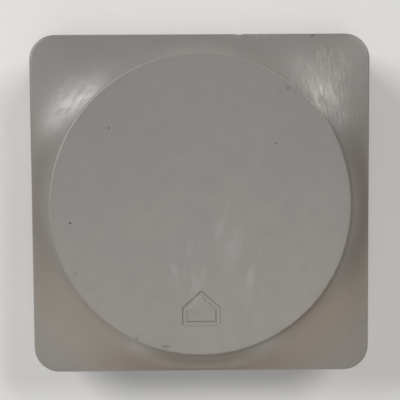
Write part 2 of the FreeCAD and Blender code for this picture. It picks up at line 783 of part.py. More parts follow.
def contact_positive():
    """Clip beside the cell's can, with a foot under the board."""
    body = new_body("contact_positive", "well_z")
    near = "cell_radius + contact_gap"
    top = "board_z - well_z"
    under = f"{top} - clip_thickness"
    clip = polygon(
        (near, "0"), (f"{near} + clip_thickness", "0"), (f"{near} + clip_thickness", under),
        (f"{near} + clip_foot", under), (f"{near} + clip_foot", top), (near, top))
    slab(body, "clip", "clip_width", clip)
    return body


def main_board():
    body = new_body("main_board", "board_z")
    pad(body, "board", "0", "board_thickness", disc("board_radius"))
    hole = pocket(body, "screw_hole", "0", "board_thickness",
                  disc("board_screw_radius + 2 * running_gap", "0", "board_screw_place"))
    around(body, "screw_holes", 3, hole)
    return body


def switch_housing():
    body = new_body("switch_housing", "board_top")
    pad(body, "case", "0", "switch_height", rounded_square("switch_width", "switch_corner"))
    pocket(body, "well", "switch_height - well_depth", "switch_height",
           disc("plunger_flange_radius + 2 * running_gap"))
    return body


def switch_terminals():
    """Four flat legs that reach out from under the switch."""
    body = new_body("switch_terminals", "board_top")
    reach = "switch_width / 2 + terminal_reach / 2"
    legs = [rectangle("terminal_reach", "terminal_width", f"{side_x}({reach})", f"{side_y}switch_width / 3")
            for side_x in ("", "-") for side_y in ("", "-")]
    pad(body, "legs", "0", "terminal_thickness", *legs)
    return body


def switch_dome():
    """Thin snap dome on the floor of the switch's well."""
    body = new_body("switch_dome", "switch_top - well_depth")
    low = "dome_height - dome_sheet"
    profile = polygon(
        ("dome_radius - dome_sheet * 1.5", "0"), ("dome_radius", "0"),
        ("dome_radius * 0.55", "dome_height * 0.8"), ("dome_radius * 0.2", "dome_height"),
        ("0", "dome_height"), ("0", low), ("dome_radius * 0.2", low), ("dome_radius * 0.5", f"({low}) * 0.8"))
    turned(body, "dome", profile)
    return body


def switch_cover_plate():
    body = new_body("switch_cover_plate", "switch_top")
    pad(body, "plate", "0", "switch_plate",
        rounded_square("switch_width", "switch_corner"), disc("plunger_radius + running_gap"))
    return body


def switch_plunger():
    """Plunger with a flange that stays under the metal plate."""
    body = new_body("switch_plunger", "switch_top - plunger_flange_height - switch_plate + contact_gap")
    top = "plunger_flange_height + 2 * switch_plate + switch_rise - contact_gap"
    profile = polygon(
        ("0", "0"), ("plunger_flange_radius", "0"), ("plunger_flange_radius", "plunger_flange_height"),
        ("plunger_radius", "plunger_flange_height"), ("plunger_radius", f"{top} - plunger_chamfer"),
        ("plunger_radius - plunger_chamfer", top), ("0", top))
    turned(body, "plunger", profile)
    return body


def board_parts(label, height, width, length, *places):
    """Rectangular parts soldered on the board, one solid for each place."""
    body = new_body(label, "board_top")
    pad(body, "cases", "0", height, *[rectangle(width, length, x, y) for x, y in places])
    return body


def small_parts():
    """The board's other parts, placed from its middle and its edge."""
    board_parts("radio_chip", "chip_height", "chip_width", "chip_width",
                ("-board_radius / 2", "board_radius * 0.3"))
    board_parts("chip_antenna", "antenna_height", "antenna_length", "antenna_width",
                ("board_radius * 0.55", "board_radius * 0.62"))
    board_parts("crystals", "crystal_height", "crystal_length", "crystal_width",
                ("-board_radius / 2", "board_radius * 0.6"), ("-board_radius * 0.2", "board_radius * 0.5"))
    board_parts("reservoir_capacitor", "reservoir_height", "reservoir_length", "reservoir_width",
                ("board_radius * 0.5", "-board_radius * 0.3"))
    row = [f"board_radius * {share}" for share in (-0.36, -0.22, -0.08, 0.06, 0.2, 0.34)]
    board_parts("smd_capacitors", "capacitor_height", "small_part_width", "small_part_length",
                *[(x, "-board_radius * 0.62") for x in row])
    board_parts("smd_resistors", "resistor_height", "small_part_width", "small_part_length",
                *[(x, "-board_radius * 0.78") for x in row[:5]])


def build_all():
    silicone_cover()
    key_plate()
    actuator_pad()
    return_springs()
    chassis()
    back_cover()
    grip_pad()
    case_screws()
    board_screws()
    battery_door()
    door_seal()
    coin_cell()
    contact_negative()
    contact_positive()
    main_board()
    switch_housing()
    switch_terminals()
    switch_dome()
    switch_cover_plate()
    switch_plunger()
    small_parts()
    DOC.recompute()


def check_all():
    """Stop if an object failed, a cut removed nothing or a sub-part has no valid solid."""
    for item in DOC.Objects:
        if {"Invalid", "Error"} & set(item.State):
            raise RuntimeError(f"{item.Label} failed: {item.State}")
        if item.TypeId in ("PartDesign::Pocket", "PartDesign::Groove"):
            if item.Shape.Volume > item.BaseFeature.Shape.Volume - TOLERANCE:
                raise RuntimeError(f"{item.Label} in {item.getParent().Label} cuts nothing")
    for body in BODIES:
        if body.Shape.isNull() or not body.Shape.isValid() or not body.Shape.Solids:
            raise RuntimeError(f"{body.Label} has no valid solid")


def write_all():
    os.makedirs("parts", exist_ok=True)
    for body in BODIES:
        body.Shape.exportStep(f"parts/{body.Label}.step")
        box = body.Shape.BoundBox
        print(f"{body.Label}: {len(body.Shape.Solids)} solids, {body.Shape.Volume:.2f} mm3, "
              f"z {box.ZMin:.2f} to {box.ZMax:.2f}, x to {box.XMax:.2f}")


fill_sheet()
build_all()
check_all()
write_all()
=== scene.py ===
"""Looks of the wireless push button: soft silicone cover, soft parts, materials, light and camera."""
import json
import math

import bmesh
import bpy
from mathutils import Matrix, Vector, noise


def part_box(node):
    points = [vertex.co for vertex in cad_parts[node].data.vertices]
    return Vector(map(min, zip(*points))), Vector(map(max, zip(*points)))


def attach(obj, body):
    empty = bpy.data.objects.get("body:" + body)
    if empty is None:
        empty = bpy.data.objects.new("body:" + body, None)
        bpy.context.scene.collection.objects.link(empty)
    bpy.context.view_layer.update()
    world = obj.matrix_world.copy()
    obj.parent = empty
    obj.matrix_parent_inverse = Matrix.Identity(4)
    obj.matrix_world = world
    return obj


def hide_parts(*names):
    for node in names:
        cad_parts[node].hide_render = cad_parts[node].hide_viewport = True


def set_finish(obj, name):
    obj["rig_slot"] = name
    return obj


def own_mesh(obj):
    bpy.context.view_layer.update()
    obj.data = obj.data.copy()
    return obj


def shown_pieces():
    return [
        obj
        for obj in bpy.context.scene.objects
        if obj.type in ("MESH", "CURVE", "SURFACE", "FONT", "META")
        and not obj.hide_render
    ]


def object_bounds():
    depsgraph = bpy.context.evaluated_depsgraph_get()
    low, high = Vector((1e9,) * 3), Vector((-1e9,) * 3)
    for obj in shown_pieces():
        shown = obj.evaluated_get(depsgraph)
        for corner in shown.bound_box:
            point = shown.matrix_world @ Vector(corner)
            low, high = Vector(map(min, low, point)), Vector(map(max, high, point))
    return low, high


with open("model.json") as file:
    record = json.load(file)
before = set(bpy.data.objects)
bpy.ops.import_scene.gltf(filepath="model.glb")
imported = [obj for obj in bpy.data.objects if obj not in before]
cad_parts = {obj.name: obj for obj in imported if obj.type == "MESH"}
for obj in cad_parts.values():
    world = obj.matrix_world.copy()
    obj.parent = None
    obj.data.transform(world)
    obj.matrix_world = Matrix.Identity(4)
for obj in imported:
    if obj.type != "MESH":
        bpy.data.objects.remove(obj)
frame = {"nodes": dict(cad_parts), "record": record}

CAD_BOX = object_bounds()
MM = 0.001

# The cover's outer shape, in metres. Its width and heights come from the frame.
COVER_LOW, COVER_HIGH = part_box("silicone_cover")
PLATE_LOW, PLATE_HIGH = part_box("key_plate")
HALF_WIDTH = COVER_HIGH.x
TOP = COVER_HIGH.z
CORNER = 4.5 * MM
DISC_RADIUS = HALF_WIDTH - 3.9 * MM
RIM_STEP = 0.5 * MM
RIM_ROUND = 0.3 * MM
FLARE_DROP = 2.9 * MM
FLARE_LEAN = 0.55
FLARE_REACH = 5.0 * MM
EDGE_ROUND = 0.5 * MM
DISH_DEPTH = 0.65 * MM
DISH_RADIUS = DISC_RADIUS - 0.8 * MM
RIM_Z = TOP - RIM_STEP
EDGE_Z = RIM_Z - FLARE_DROP
SKIRT_ROUND = 0.3 * MM
LIP_DEPTH = 1.0 * MM
LIP_THICKNESS = 1.0 * MM
PLATFORM_RADIUS = DISC_RADIUS - 1.9 * MM
SHOULDER_Z = EDGE_Z - 1.2 * MM
CLEAR = 0.02 * MM
COLUMNS = 720

# Unevenness of the moulding, and the nick in the upper edge.
WAVE_DEPTH = 0.02 * MM
WAVE_LENGTH = 9 * MM
NICK_X = 7.0 * MM
NICK_IN = 0.1 * MM
NICK_DOWN = 0.06 * MM

# The generic house pressed into the face.
MARK_CENTRE = -18.0 * MM
MARK_WIDTH = 6.6 * MM
MARK_HEIGHT = 6.0 * MM
MARK_LINE = 0.8 * MM
MARK_DEPTH = 0.22 * MM


def smooth(value, low, high):
    """0 below low, 1 above high, and a smooth step between."""
    share = min(1.0, max(0.0, (value - low) / (high - low)))
    return share * share * (3 - 2 * share)


# ---------------------------------------------------------------- silicone cover

def square_reach(angle, half, corner):
    """Distance from the middle to a rounded square's outline in one direction."""
    folded = abs((angle + math.pi / 4) % (math.pi / 2) - math.pi / 4)
    flat = half - corner
    if math.tan(folded) * half <= flat:
        return half / math.cos(folded)
    along = flat * (math.cos(folded) + math.sin(folded))
    return along + math.sqrt(corner ** 2 - flat ** 2 * (1 - math.sin(2 * folded)))


def flare_height(share, span):
    """Height of the flare; share is 0 at the rim and 1 at the edge, a span away.

    Long spans fall off faster.
    """
    left = 1 - share
    power = 1 + span / FLARE_REACH
    return EDGE_Z + FLARE_DROP * ((1 - FLARE_LEAN) * left ** power + FLARE_LEAN * left)


def dish_height(radius):
    """Height of the face at a distance from its middle."""
    return TOP - DISH_DEPTH * max(0.0, 1 - (radius / DISH_RADIUS) ** 2)


def cover_rings():
    """The cover's rings from the middle of the face, over the outside, round the lip and back inside.

    Each ring is a function from a direction to a distance from the axis and a height.
    """
    rings = []

    def circle(radius, height):
        rings.append(lambda angle: (radius, height))

    def square(half, corner, height):
        rings.append(lambda angle: (square_reach(angle, half, corner), height))

    fine_low, fine_high = 13.0 * MM, 23.0 * MM
    radius = 0.4 * MM
    while radius < DISH_RADIUS - 0.3 * MM:
        circle(radius, dish_height(radius))
        radius += 0.3 * MM if fine_low < radius < fine_high else 0.8 * MM
    circle(DISH_RADIUS, TOP)
    circle(DISH_RADIUS + 0.25 * MM, TOP)
    for step in range(7):
        turn = step / 6 * math.pi / 2
        circle(DISC_RADIUS - RIM_ROUND * (1 - math.sin(turn)), TOP - RIM_ROUND * (1 - math.cos(turn)))
    circle(DISC_RADIUS, RIM_Z + 0.1 * MM)
    inset_half = HALF_WIDTH - EDGE_ROUND
    inset_corner = CORNER - EDGE_ROUND

    def flare(share):
        def reach(angle):
            span = square_reach(angle, inset_half, inset_corner) - DISC_RADIUS
            return DISC_RADIUS + share * span, flare_height(share, span)
        rings.append(reach)

    flare_steps = 34
    for step in range(flare_steps + 1):
        flare((step / flare_steps) ** 1.2)
    for step in range(1, 7):
        turn = step / 6 * math.pi / 2
        out = EDGE_ROUND * (1 - math.sin(turn))
        square(HALF_WIDTH - out, CORNER - out, EDGE_Z - EDGE_ROUND * (1 - math.cos(turn)))
    skirt_low = COVER_LOW.z + SKIRT_ROUND
    for step in range(1, 9):
        height = EDGE_Z - EDGE_ROUND + (skirt_low - EDGE_Z + EDGE_ROUND) * step / 8
        square(HALF_WIDTH, CORNER, height)
    for step in range(1, 6):
        turn = step / 5 * math.pi / 2
        inward = SKIRT_ROUND * (1 - math.cos(turn))
        square(HALF_WIDTH - inward, CORNER - inward, COVER_LOW.z + SKIRT_ROUND * (1 - math.sin(turn)))
    wall = PLATE_HIGH.x + CLEAR
    wall_corner = CORNER - (HALF_WIDTH - wall)
    lip = PLATE_HIGH.x - LIP_DEPTH
    lip_top = COVER_LOW.z + LIP_THICKNESS
    square(lip + 0.2 * MM, wall_corner, COVER_LOW.z)
    square(lip, wall_corner, COVER_LOW.z + 0.2 * MM)
    square(lip, wall_corner, lip_top - CLEAR)
    square(wall, wall_corner, lip_top - CLEAR)
    square(wall, wall_corner, SHOULDER_Z + CLEAR)
    circle(PLATFORM_RADIUS + CLEAR, SHOULDER_Z + CLEAR)
    circle(PLATFORM_RADIUS + CLEAR, PLATE_HIGH.z + CLEAR)
    circle(PLATFORM_RADIUS / 2, PLATE_HIGH.z + CLEAR)
    return rings


def house_line():
    """Middle line of the pressed house, as corners in order."""
    half = (MARK_WIDTH - MARK_LINE) / 2
    low = MARK_CENTRE - (MARK_HEIGHT - MARK_LINE) / 2
    eaves = MARK_CENTRE
    peak = MARK_CENTRE + (MARK_HEIGHT - MARK_LINE) / 2
    corners = ((-half, low), (half, low), (half, eaves), (0, peak), (-half, eaves))
    return [Vector(corner) for corner in corners]


def distance_to_line(point, corners):
    """Distance from a point to the nearest side of a closed line."""
    best = math.inf
    for start, end in zip(corners, corners[1:] + corners[:1]):
        along = end - start
        share = min(1.0, max(0.0, (point - start).dot(along) / along.length_squared))
        best = min(best, (point - start - along * share).length)
    return best


def press_mark(mesh_bm):
    """Refine the face around the mark and press the mark's groove into it."""
    corners = house_line()
    margin = 0.9 * MM
    reach_x = MARK_WIDTH / 2 + margin
    reach_y = MARK_HEIGHT / 2 + margin

    def near(point):
        beside = abs(point.x) < reach_x and abs(point.y - MARK_CENTRE) < reach_y
        return beside and point.z > TOP - 2 * DISH_DEPTH

    for _ in range(2):
        edges = {edge for face in mesh_bm.faces if near(face.calc_center_median()) for edge in face.edges}
        bmesh.ops.subdivide_edges(mesh_bm, edges=list(edges), cuts=1, use_grid_fill=True)
    for vert in mesh_bm.verts:
        if near(vert.co):
            place = Vector((vert.co.x, vert.co.y))
            depth = MARK_DEPTH * (1 - smooth(distance_to_line(place, corners), 0.26 * MM, 0.5 * MM))
            vert.co.z = dish_height(place.length) - depth


def make_cover():
    """The cover as one closed skin of rings."""
    mesh_bm = bmesh.new()
    rows = []
    for ring in cover_rings():
        row = []
        for column in range(COLUMNS):
            angle = 2 * math.pi * column / COLUMNS
            radius, height = ring(angle)
            row.append(mesh_bm.verts.new((radius * math.cos(angle), radius * math.sin(angle), height)))
        rows.append(row)
    for upper, lower in zip(rows, rows[1:]):
        for column in range(COLUMNS):
            after = (column + 1) % COLUMNS
            mesh_bm.faces.new((upper[column], lower[column], lower[after], upper[after]))
    top = mesh_bm.verts.new((0, 0, dish_height(0)))
    under = mesh_bm.verts.new((0, 0, PLATE_HIGH.z + CLEAR))
    for column in range(COLUMNS):
        after = (column + 1) % COLUMNS
        mesh_bm.faces.new((top, rows[0][column], rows[0][after]))
        mesh_bm.faces.new((under, rows[-1][after], rows[-1][column]))
    press_mark(mesh_bm)
    wear(mesh_bm)
    return new_piece("cover_skin", mesh_bm, "key", "grey_silicone", "silicone_cover")


def wear(mesh_bm):
    """Slight unevenness of the moulding, always inwards, and a nick in the upper edge."""
    for vert in mesh_bm.verts:
        place = vert.co
        outside = place.z > EDGE_Z - EDGE_ROUND or max(abs(place.x), abs(place.y)) > PLATE_HIGH.x + 0.5 * MM
        if not outside or place.z < COVER_LOW.z + LIP_THICKNESS:
            continue
        wave = 0.5 + 0.5 * noise.noise(place / WAVE_LENGTH)
        vert.co.z -= WAVE_DEPTH * wave
        if place.y > HALF_WIDTH - 1.2 * MM:
            dent = 1 - smooth(abs(place.x - NICK_X), 0.2 * MM, 0.8 * MM)
            dent *= 1 - smooth(abs(place.z - EDGE_Z + 0.2 * MM), 0.2 * MM, 0.9 * MM)
            vert.co.y -= NICK_IN * dent
            vert.co.z -= NICK_DOWN * dent


def new_piece(name, mesh_bm, body, slot, *replaced):
    """Turn a bmesh into a smooth-shaded piece that rides on a CAD body."""
    bmesh.ops.recalc_face_normals(mesh_bm, faces=mesh_bm.faces)
    mesh = bpy.data.meshes.new(name)
    mesh_bm.to_mesh(mesh)
    mesh_bm.free()
    piece = bpy.data.objects.new(name, mesh)
    bpy.context.scene.collection.objects.link(piece)
    mesh.shade_smooth()
    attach(piece, body)
    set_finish(piece, slot)
    if replaced:
        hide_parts(*replaced)
    return piece


# ---------------------------------------------------------------- springs and dome

SPRING_TURNS = 5.0
WIRE_RADIUS = 0.15 * MM
COIL_RADIUS = 1.8 * MM
DOME_SHEET = 0.1 * MM


def make_springs():
    """Four coil springs with closed ends."""
    low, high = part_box("return_springs")
    place = high.x - COIL_RADIUS - WIRE_RADIUS
    bottom, top = low.z + WIRE_RADIUS, high.z - WIRE_RADIUS
    steps = 150
    around = 10
    for number, (side_x, side_y) in enumerate(((1, 1), (-1, 1), (-1, -1), (1, -1)), 1):
        mesh_bm = bmesh.new()
        rows = []
        for step in range(steps + 1):
            share = step / steps
            turn = share * SPRING_TURNS * 2 * math.pi
            pitch = smooth(share, 0.1, 0.9) * 0.35 + share * 0.65
            outward = Vector((math.cos(turn), math.sin(turn), 0))
            axis = Vector((place * side_x, place * side_y, bottom + (top - bottom) * pitch))
            centre = axis + outward * COIL_RADIUS
            row = []
            for corner in range(around):
                bend = 2 * math.pi * corner / around
                offset = outward * math.cos(bend) + Vector((0, 0, 1)) * math.sin(bend)
                row.append(mesh_bm.verts.new(centre + offset * WIRE_RADIUS))
            rows.append(row)
        for before, after in zip(rows, rows[1:]):
            for corner in range(around):
                beside = (corner + 1) % around
                mesh_bm.faces.new((before[corner], before[beside], after[beside], after[corner]))
        mesh_bm.faces.new(rows[0])
        mesh_bm.faces.new(rows[-1])
        nodes = ("return_springs",) if number == 1 else ()
        spring = new_piece(f"return_spring_{number}", mesh_bm, "base", "spring_steel", *nodes)
        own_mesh(spring)


def make_dome():
    """Snap dome of thin sheet, with a flat crown."""
    low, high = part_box("switch_dome")
    middle = (low + high) / 2
    reach = high.x - middle.x
    height = high.z - low.z
    steps, around = 24, 72
    profile = []
    for step in range(1, steps + 1):
        share = step / steps
        rise = (height - DOME_SHEET) * (1 - smooth(share, 0.15, 1.0))
        profile.append((reach * share, rise + DOME_SHEET))
    profile += [(out - DOME_SHEET * 0.5 * out / reach, up - DOME_SHEET) for out, up in reversed(profile)]
    mesh_bm = bmesh.new()
    rows = []
    for out, up in profile:
        row = []
        for corner in range(around):
            turn = 2 * math.pi * corner / around
            place = (middle.x + out * math.cos(turn), middle.y + out * math.sin(turn), low.z + up)
            row.append(mesh_bm.verts.new(place))
        rows.append(row)
    for before, after in zip(rows, rows[1:]):
        for corner in range(around):
            beside = (corner + 1) % around
            mesh_bm.faces.new((before[corner], after[corner], after[beside], before[beside]))
    mesh_bm.faces.new(rows[0])
    mesh_bm.faces.new(rows[-1])
    dome = new_piece("snap_dome", mesh_bm, "base", "spring_steel", "switch_dome")
    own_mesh(dome)


PAD_EDGE = 0.15 * MM
PAD_CORNER = 5.0 * MM
PAD_OPENING = 16.9 * MM
SCREW_HOLE = 2.3 * MM
SCREW_PLACE = 18.0 * MM


def make_grip_pad():
    """Rubber frame under the base, with rounded edges, an opening for the door and four screw holes."""
    low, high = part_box("grip_pad")

    def outline(steps, shape):
        return [shape(2 * math.pi * step / steps) for step in range(steps)]

    def circle(radius, middle_x=0.0, middle_y=0.0):
        return lambda turn: (middle_x + radius * math.cos(turn), middle_y + radius * math.sin(turn))

    def frame_edge(turn):
        reach = square_reach(turn, high.x, PAD_CORNER)
        return reach * math.cos(turn), reach * math.sin(turn)

    outlines = [outline(360, frame_edge), outline(180, circle(PAD_OPENING))]
    for x, y in ((1, 1), (-1, 1), (-1, -1), (1, -1)):
        outlines.append(outline(48, circle(SCREW_HOLE, SCREW_PLACE * x, SCREW_PLACE * y)))
    curve = bpy.data.curves.new("grip_pad_outline", "CURVE")
    curve.dimensions = "2D"
    curve.fill_mode = "BOTH"
    curve.extrude = (high.z - low.z) / 2 - PAD_EDGE
    curve.bevel_depth = PAD_EDGE
    curve.bevel_resolution = 3
    curve.offset = -PAD_EDGE
    for points in outlines:
        spline = curve.splines.new("POLY")
        spline.points.add(len(points) - 1)
        for point, (x, y) in zip(spline.points, points):
            point.co = (x, y, 0, 1)
        spline.use_cyclic_u = True
    holder = bpy.data.objects.new("grip_pad_outline", curve)
    bpy.context.scene.collection.objects.link(holder)
    mesh = bpy.data.meshes.new_from_object(holder.evaluated_get(bpy.context.evaluated_depsgraph_get()))
    bpy.data.objects.remove(holder)
    mesh_bm = bmesh.new()
    mesh_bm.from_mesh(mesh)
    bmesh.ops.remove_doubles(mesh_bm, verts=mesh_bm.verts, dist=0.001 * MM)
    bmesh.ops.translate(mesh_bm, verts=mesh_bm.verts, vec=(0, 0, (low.z + high.z) / 2))
    piece = new_piece("grip_frame", mesh_bm, "base", "dark_silicone", "grip_pad")
    piece.data.set_sharp_from_angle(angle=math.radians(40))


def soften_edges(width, *names):
    """Round the sharp edges of moulded CAD nodes by modifiers, which leave their meshes as they are."""
    for name in names:
        node = frame["nodes"][name]
        weld = node.modifiers.new("weld", "WELD")
        weld.merge_threshold = 0.001 * MM
        bevel = node.modifiers.new("rounding", "BEVEL")
        bevel.width = width
        bevel.segments = 2
        bevel.limit_method = "ANGLE"
        bevel.angle_limit = math.radians(35)
        bevel.harden_normals = True


# ---------------------------------------------------------------- materials

class Paint:
    """Adds shader nodes to one new material, with places in millimetres of the object's own frame."""

    def __init__(self, name):
        self.material = bpy.data.materials.new(name)
        self.material.use_nodes = True
        self.tree = self.material.node_tree
        self.shader = self.tree.nodes["Principled BSDF"]
        coordinates = self.tree.nodes.new("ShaderNodeTexCoord")
        scale = self.tree.nodes.new("ShaderNodeVectorMath")
        scale.operation = "SCALE"
        scale.inputs["Scale"].default_value = 1 / MM
        self.tree.links.new(coordinates.outputs["Object"], scale.inputs[0])
        self.place = scale.outputs[0]

    def put(self, value, socket):
        """Link a socket, or set a plain value."""
        if isinstance(value, bpy.types.NodeSocket):
            self.tree.links.new(value, socket)
        else:
            socket.default_value = value

    def set(self, **values):
        """Set or link the shader's own inputs; underscores stand for spaces."""
        for name, value in values.items():
            self.put(value, self.shader.inputs[name.replace("_", " ")])

    def math(self, operation, first, second=0.0, clamp=False):
        made = self.tree.nodes.new("ShaderNodeMath")
        made.operation = operation
        made.use_clamp = clamp
        self.put(first, made.inputs[0])
        self.put(second, made.inputs[1])
        return made.outputs[0]

    def times(self, *values):
        """Product of sockets and numbers."""
        product = values[0]
        for value in values[1:]:
            product = self.math("MULTIPLY", product, value)
        return product

    def moved(self, shift=(0, 0, 0), turn=0.0, stretch=(1, 1, 1)):
        """The place after a shift, a turn in degrees about Z and a stretch of the pattern's frequency."""
        shifted = self.tree.nodes.new("ShaderNodeVectorMath")
        shifted.operation = "SUBTRACT"
        self.put(self.place, shifted.inputs[0])
        shifted.inputs[1].default_value = shift
        turned = self.tree.nodes.new("ShaderNodeVectorRotate")
        turned.rotation_type = "Z_AXIS"
        turned.inputs["Angle"].default_value = math.radians(-turn)
        self.put(shifted.outputs[0], turned.inputs["Vector"])
        scaled = self.tree.nodes.new("ShaderNodeVectorMath")
        scaled.operation = "MULTIPLY"
        self.put(turned.outputs[0], scaled.inputs[0])
        scaled.inputs[1].default_value = stretch
        return scaled.outputs[0]

    def noise(self, scale, detail=3.0, roughness=0.55, place=None):
        """Noise from 0 to 1; scale is in features per millimetre."""
        made = self.tree.nodes.new("ShaderNodeTexNoise")
        self.put(self.place if place is None else place, made.inputs["Vector"])
        made.inputs["Scale"].default_value = scale
        made.inputs["Detail"].default_value = detail
        made.inputs["Roughness"].default_value = roughness
        return made.outputs["Fac"]

    def step(self, value, low, high, start=0.0, end=1.0):
        """Smooth step of a value from one range to another."""
        made = self.tree.nodes.new("ShaderNodeMapRange")
        made.interpolation_type = "SMOOTHSTEP"
        self.put(value, made.inputs["Value"])
        made.inputs["From Min"].default_value = low
        made.inputs["From Max"].default_value = high
        made.inputs["To Min"].default_value = start
        made.inputs["To Max"].default_value = end
        return made.outputs["Result"]

    def part(self, name, place=None):
        """One coordinate of a place."""
        made = self.tree.nodes.new("ShaderNodeSeparateXYZ")
        self.put(self.place if place is None else place, made.inputs[0])
        return made.outputs[name]

    def radius(self, place=None):
        """Distance from the Z axis, or of a moved place from its own."""
        flat = self.tree.nodes.new("ShaderNodeVectorMath")
        flat.operation = "MULTIPLY"
        self.put(self.place if place is None else place, flat.inputs[0])
        flat.inputs[1].default_value = (1, 1, 0)
        length = self.tree.nodes.new("ShaderNodeVectorMath")
        length.operation = "LENGTH"
        self.put(flat.outputs[0], length.inputs[0])
        return length.outputs["Value"]

    def spot(self, x, y, size, soft=0.35, turn=0.0, slim=1.0):
        """1 inside an ellipse around the axis through x and y, 0 outside."""
        place = self.moved((x, y, 0), turn, (1, slim, 1))
        return self.step(self.radius(place), size * (1 - soft), size * (1 + soft), 1.0, 0.0)

    def mix(self, share, first, second, kind="MIX"):
        """Mix two colours, each a socket or a triple."""
        made = self.tree.nodes.new("ShaderNodeMix")
        made.data_type = "RGBA"
        made.blend_type = kind
        self.put(share, made.inputs["Factor"])
        self.put(first if isinstance(first, bpy.types.NodeSocket) else (*first, 1), made.inputs["A"])
        self.put(second if isinstance(second, bpy.types.NodeSocket) else (*second, 1), made.inputs["B"])
        return made.outputs["Result"]

    def bump(self, height, distance):
        """Add relief to the shader's normal; distance is the relief of a height of 1, in millimetres."""
        made = self.tree.nodes.new("ShaderNodeBump")
        made.inputs["Distance"].default_value = distance * MM
        self.put(height, made.inputs["Height"])
        self.tree.links.new(made.outputs["Normal"], self.shader.inputs["Normal"])


# Places on the silicone are in millimetres: x, y, half width; then slimness and turn in degrees.
# Tints of the flare, all painted light and shade: warm painted shade darkens its sides and three of its outer
# corners, and painted light makes its lower corners paler near the rim.
FLARE_LIGHT_AND_SHADE = (
    (27.9, 0.0, 3.2, 0.22, 0, (0.77, 0.72, 0.66)),
    (-28.5, 0.0, 3.5, 0.25, 0, (0.88, 0.84, 0.80)),
    (0.0, -28.5, 3.5, 0.25, 90, (0.84, 0.73, 0.63)),
    (0.0, 28.5, 3.5, 0.2, 90, (0.9, 0.92, 0.92)),
    (-20.5, -21.0, 6.5, 0.5, 45, (1.12, 1.05, 1.0)),
    (20.0, -20.5, 5.0, 0.5, -45, (1.14, 1.05, 0.98)),
    (26.0, -26.0, 9.0, 0.8, 0, (0.92, 0.90, 0.88)),
    (26.0, 26.0, 8.0, 0.8, 0, (0.92, 0.91, 0.90)),
    (-26.0, 26.0, 8.0, 0.8, 0, (0.93, 0.93, 0.94)),
)
# Pale rubs on the lower half of the face.
FACE_RUBS = (
    (5.2, -8.5, 1.1, 0.3, -14),
    (-1.0, -13.0, 0.6, 0.3, 8),
    (-4.6, -11.5, 0.5, 0.35, 20),
    (3.2, -4.5, 0.9, 0.6, 0),
    (8.5, -12.5, 0.7, 0.4, -10),
)
# Specks and small marks, each with its strength and colour.
DIRT = (0.03, 0.028, 0.025)
RED_DIRT = (0.09, 0.02, 0.022)
SPECKS = (
    (-22.5, -2.9, 0.26, 1.7, 40, 0.85, DIRT),
    (-15.6, 13.4, 0.16, 1.0, 0, 0.75, DIRT),
    (13.0, 10.6, 0.17, 1.0, 0, 0.7, RED_DIRT),
    (-6.2, -24.5, 0.75, 2.8, 0, 0.35, DIRT),
    (-11.3, -23.0, 0.3, 0.8, 0, 0.25, DIRT),
    (15.0, 20.0, 0.28, 1.0, 0, 0.4, DIRT),
    (-21.8, -11.6, 0.25, 1.0, 0, 0.25, DIRT),
    (24.9, -8.5, 0.2, 1.0, 0, 0.2, DIRT),
    (19.8, 29.6, 0.28, 1.5, 0, 0.6, DIRT),
)


